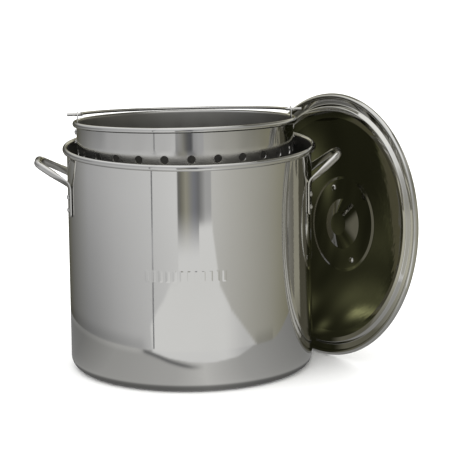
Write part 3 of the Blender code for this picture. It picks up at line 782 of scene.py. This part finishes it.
def toneOf(level, warm):
    # A grey of this sRGB level, seen in the steel, as the light that a card has to give.
    value = np.asarray(level, float) / 255
    linear = np.where(value < 0.04045, value / 12.92, ((value + 0.055) / 1.055) ** 2.4)
    warm = np.asarray(warm, float)
    red, green, blue = 1 + 0.035 * warm, 1 + 0.012 * warm, 1 - 0.11 * warm
    return np.stack([linear * red, linear * green, linear * blue], -1) / reflects


def panelLevel(turn, height):
    # The tent's wall is darker to the sides and lower left.
    drop = valueAt(turn, studio["wallDrop"])
    level = valueAt(turn, studio["wall"]) * (1 - drop * (1 - np.clip(height / 0.26, 0, 1)))
    foot = 1 - smoothStep(height, 0.003, 0.028)
    level = level * (1 - 0.11 * foot * (smoothStep(-turn, 30, 40) + smoothStep(turn, 46, 52) * (turn < 66)))
    # The basket's wall sees the cloth's upper part, which is a little darker to the sides.
    fade = 0.1 + 0.2 * smoothStep(-turn, 74, 84) + 0.1 * smoothStep(turn, 40, 65)
    level = level * (1 - fade * smoothStep(height, 0.335, 0.36))
    # Above the objects the cloth is lit from the ceiling.
    roof = smoothStep(height, 0.40, 0.47)
    share = 0.35 + 0.65 * smoothStep(np.abs(turn), 60, 100)
    level = level + roof * (studio["ceiling"] - level) * share
    # The ceiling over the lid is a dusky taupe, and over the front it is pale.
    dusk = smoothStep(turn, 55, 80) + smoothStep(-turn, 130, 160)
    return level + smoothStep(height, 0.50, 0.80) * (45 - 115 * dusk)


def tentTone(turn, height):
    level = panelLevel(turn, height)
    warm = valueAt(turn, studio["wallWarm"]) * (1 - 0.6 * smoothStep(height, 0.37, 0.46))
    tone = toneOf(level, warm)
    # A gap in front shows the darker room, above the cloth that hangs over its lower part.
    inGap = smoothStep(turn, studio["gapFrom"] - 0.3, studio["gapFrom"] + 0.3)
    inGap *= 1 - smoothStep(turn, studio["gapTo"] - 0.4, studio["gapTo"] + 0.4)
    room, roomWarm = valueAt(turn, studio["room"]), valueAt(turn, studio["roomWarm"])
    seen = smoothStep(height, 0.150, 0.238)
    seen = (seen * (1 - 0.4 * smoothStep(turn, 8, 14) * (1 - smoothStep(height, 0.19, 0.24))))[..., None]
    above = smoothStep(height, 0.30, 0.40)[..., None]
    # Higher up the room is a dark band, soft on its left and crisp on its right.
    high = 150 - 90 * smoothStep(turn, -7, 2) * (1 - smoothStep(turn, 4, 7))
    high = high + (studio["aboveGap"] - high) * smoothStep(height, 0.43, 0.49)
    dark = toneOf(room, roomWarm) * (1 - above) + toneOf(high, 0) * above
    dark = dark * seen + toneOf(studio["cloth"], 0.2) * (1 - seen)
    tone += inGap[..., None] * (1 - smoothStep(height, 0.5, 0.6))[..., None] * (dark - tone)
    # A pale cloth spreads out from below the gap.
    left, right = valueAt(height, studio["clothLeft"]), valueAt(height, studio["clothRight"])
    cloth = smoothStep(turn, left - 1.5, left + 1.5) * (1 - smoothStep(turn, right - 0.8, right + 0.8))
    cloth *= 1 - smoothStep(height, 0.10 + 0.1 * (turn > 6), 0.14 + 0.08 * (turn > 6))
    hem = studio["cloth"] - 22 * smoothStep(turn, 22, 44)
    tone += cloth[..., None] * (toneOf(hem, 0.25) - tone)
    return tone


def floorTone(turn, reach):
    # The tent's floor. Folds of the cloth shade it near the wall, and the pot shades it near the middle.
    level = valueAt(turn, studio["ground"])
    level = level * (1 + 0.10 * smoothStep(reach, 0.395, 0.43) * smoothStep(-turn, 32, 44))
    level = level * (1 - 0.45 * (1 - smoothStep(reach, 0.188, 0.204)))
    tone = toneOf(level, np.full_like(level, 0.35))
    # The pale cloth runs on over the floor, with a shaded fold along its edge.
    foot = valueAt(turn, studio["clothFoot"])
    cloth = smoothStep(turn, -31, -28) * (1 - smoothStep(turn, 45, 48))
    cloth = cloth * smoothStep(reach, foot - 0.003, foot + 0.004)
    hem = studio["cloth"] - 2 - 30 * smoothStep(turn, 22, 44)
    tone += cloth[..., None] * (toneOf(hem, 0.2) - tone)
    fold = foot - 0.010 - 0.018 * smoothStep(turn, -30, 0)
    shade = np.exp(-((reach - fold) / 0.013) ** 2)
    shade = shade * smoothStep(turn, -39, -34) * (1 - smoothStep(turn, -6, 10))
    tone += 0.95 * shade[..., None] * (toneOf(studio["foldShade"], 0) - tone)
    return tone


def besideTone(turn, height):
    # What the lid's hollow sees beside the pot: an olive dusk with lighter folds, and paler cloth in front.
    level = np.full_like(turn, studio["dusk"])
    for atTurn, wide, atHeight, tall, gain in studio["folds"]:
        level = level + gain * np.exp(-((turn - atTurn) / wide) ** 2 - ((height - atHeight) / tall) ** 2)
    ripple = np.sin(np.radians(turn * 31)) * np.sin(np.radians(turn * 13 + 900 * height))
    level = level * (1 + 0.10 * ripple)
    olive = toneOf(level, 0.5) * np.array([1, 1.02, 0.52])
    pale = toneOf(valueAt(height, studio["besidePale"]), 1.5)
    grey = toneOf(np.full_like(turn, studio["besideGrey"]), 2.2)
    front = (1 - smoothStep(turn, 78.5, 80.5))[..., None]
    between = (1 - smoothStep(turn, 92, 99))[..., None]
    tone = olive + between * (grey - olive)
    return tone + front * (pale - tone)


def reflectedCard(name, points, faces, tones, oneSided=False):
    # A card that only reflections see, lit by its own tones.
    card = meshPiece(name, points, faces)
    tones = tones.reshape(-1, 3)
    values = np.concatenate([tones, np.ones((len(tones), 1))], 1)
    colours = card.data.color_attributes.new("tone", "FLOAT_COLOR", "POINT")
    colours.data.foreach_set("color", values.astype(np.float32).ravel())
    material = bpy.data.materials.new(name + " light")
    material.use_nodes = True
    tree = material.node_tree
    tree.nodes.remove(tree.nodes["Principled BSDF"])
    tone = addNode(tree, "ShaderNodeAttribute", {"attribute_name": "tone"})
    light = addNode(tree, "ShaderNodeEmission", links={"Color": tone.outputs["Color"]}).outputs[0]
    if oneSided:  # clear when seen from within
        back = addNode(tree, "ShaderNodeNewGeometry").outputs["Backfacing"]
        clear = addNode(tree, "ShaderNodeBsdfTransparent").outputs[0]
        light = addNode(tree, "ShaderNodeMixShader", links={0: back, 1: light, 2: clear}).outputs[0]
    tree.links.new(light, tree.nodes["Material Output"].inputs["Surface"])
    card.data.materials.append(material)
    card.visible_camera = False
    card.visible_diffuse = False
    card.visible_shadow = False
    card.visible_transmission = False


def gridFaces(rows, columns, closed):
    faces = []
    for row in range(rows - 1):
        low, high = row * columns, (row + 1) * columns
        for c in range(columns if closed else columns - 1):
            after = (c + 1) % columns
            faces.append((low + c, low + after, high + after, high + c))
    return faces


def aroundPot(turn, reach, height):
    turn = np.radians(turn)
    return np.stack([reach * np.sin(turn), -reach * np.cos(turn), height], -1).reshape(-1, 3)


def makeTent():
    turns = np.arange(-180, 180, studio["turnStep"])
    heights = np.concatenate([np.arange(0, 0.30, 0.006), np.linspace(0.30, studio["tentTop"], 20)])
    side, height = np.meshgrid(turns, heights)
    # The wall stands back on the lid's side.
    back = studio["tentBack"] * np.maximum(smoothStep(side, 62, 120), smoothStep(-side, 140, 180))
    points = aroundPot(side, studio["tent"] + back, height)
    reflectedCard("tent_wall", points, gridFaces(*side.shape, True), tentTone(side, height))

    side, reach = np.meshgrid(turns, np.linspace(0.02, studio["tent"] + studio["tentBack"] + 0.02, 112))
    points = aroundPot(side, reach, np.full_like(reach, 0.4 * mm))
    reflectedCard("tent_floor", points, gridFaces(*side.shape, True), floorTone(side, reach))

    # The seam is a dark thread in front of the wall that leans a little and fades at one height.
    ends = [studio["seam"] - studio["seamWidth"], studio["seam"] + studio["seamWidth"]]
    side, height = np.meshgrid(ends, np.linspace(0.004, 0.6, 24))
    lean = np.degrees(0.02 * (height - 0.1))
    points = aroundPot(side + lean, np.full_like(side, studio["tent"] - 4 * mm), height)
    faint = 110 + 45 * np.exp(-((height - 0.17) / 0.04) ** 2)
    reflectedCard("tent_seam", points, gridFaces(*side.shape, False), toneOf(faint, 0))

    start, end, top = studio["beside"]
    side, height = np.meshgrid(np.arange(start, end, studio["turnStep"]), np.arange(0.002, top, 0.003))
    points = aroundPot(side, np.full_like(side, potRadius + 1.2 * mm), height)
    reflectedCard("beside_pot", points, gridFaces(*side.shape, False), besideTone(side, height), True)
    print("studio: tent")


def makeFloor():
    # Matt white paper: it keeps only a faint contact shadow.
    material = bpy.data.materials.new("matt white paper floor")
    material.use_nodes = True
    tree = material.node_tree
    shader = tree.nodes["Principled BSDF"]
    shader.inputs["Roughness"].default_value = 0.9
    shader.inputs["Specular IOR Level"].default_value = 0.1
    shader.inputs["Base Color"].default_value = toLinear(studio["floor"])
    floor = meshPiece("floor", [(-14, -14, 0), (14, -14, 0), (14, 14, 0), (-14, 14, 0)], [(0, 1, 2, 3)])
    floor.data.materials.append(material)
    print("studio: floor")


def makeSky():
    # Soft white all round for the light, and a paler top over a grey horizon for what the steel shows.
    world = bpy.data.worlds.new("studio")
    bpy.context.scene.world = world
    world.use_nodes = True
    tree = world.node_tree
    tree.nodes.clear()
    path = addNode(tree, "ShaderNodeLightPath")
    around = addNode(tree, "ShaderNodeTexCoord").outputs["Generated"]
    way = addNode(tree, "ShaderNodeSeparateXYZ", links={0: around})
    ramp = addNode(tree, "ShaderNodeValToRGB", links={0: way.outputs[2]})
    stops = (*ramp.color_ramp.elements, ramp.color_ramp.elements.new(0.5))
    for stop, (where, colour) in zip(stops, ((0, "#5A5A56"), (0.9, "#FFFFFF"), (0.55, "#E8E8E4"))):
        stop.position = where
        stop.color = toLinear(colour)
    seen = {"Color": ramp.outputs[0]}
    reflected = addNode(tree, "ShaderNodeBackground", {"Strength": studio["mirrored"]}, seen)
    soft = addNode(tree, "ShaderNodeBackground", {"Color": (1, 1, 1, 1), "Strength": studio["soft"]})
    choice = {0: path.outputs["Is Glossy Ray"], 1: soft.outputs[0], 2: reflected.outputs[0]}
    mix = addNode(tree, "ShaderNodeMixShader", links=choice)
    addNode(tree, "ShaderNodeOutputWorld", links={0: mix.outputs[0]})
    print("studio: sky")


# Camera

cameraView = {"place": (0, -3.65, 0.9637), "right": 0.854, "down": 11.505, "roll": -0.665, "lens": 190,
              "sensor": 36, "far": 60}


def makeCamera():
    data = bpy.data.cameras.new("camera")
    data.lens = cameraView["lens"]
    data.sensor_width = cameraView["sensor"]
    camera = bpy.data.objects.new("camera", data)
    bpy.context.scene.collection.objects.link(camera)
    turn = Matrix.Rotation(math.radians(-cameraView["right"]), 4, "Z")
    turn = turn @ Matrix.Rotation(math.radians(90 - cameraView["down"]), 4, "X")
    turn = turn @ Matrix.Rotation(math.radians(cameraView["roll"]), 4, "Z")
    camera.matrix_world = Matrix.Translation(cameraView["place"]) @ turn
    data.clip_end = cameraView["far"]
    bpy.context.scene.camera = camera


makeCamera()
makeTent()
makeFloor()
makeSky()
makePot()
for handleSide, handleSign in (("left", -1), ("right", 1)):
    makePotHandle(handleSide, handleSign)
basketMatrix = basketAxes()
makeBasketShell(basketMatrix)
for earSide, earSign in (("left", -1), ("right", 1)):
    makeEar(earSide, earSign, basketMatrix)
makeBail(basketMatrix)
lidMatrix, lidAlong = lidAxes()
makeLidShell(lidMatrix)
makeLidHandle(lidMatrix, lidAlong)
bpy.context.scene.view_settings.view_transform = "Standard"
bpy.context.view_layer.update()
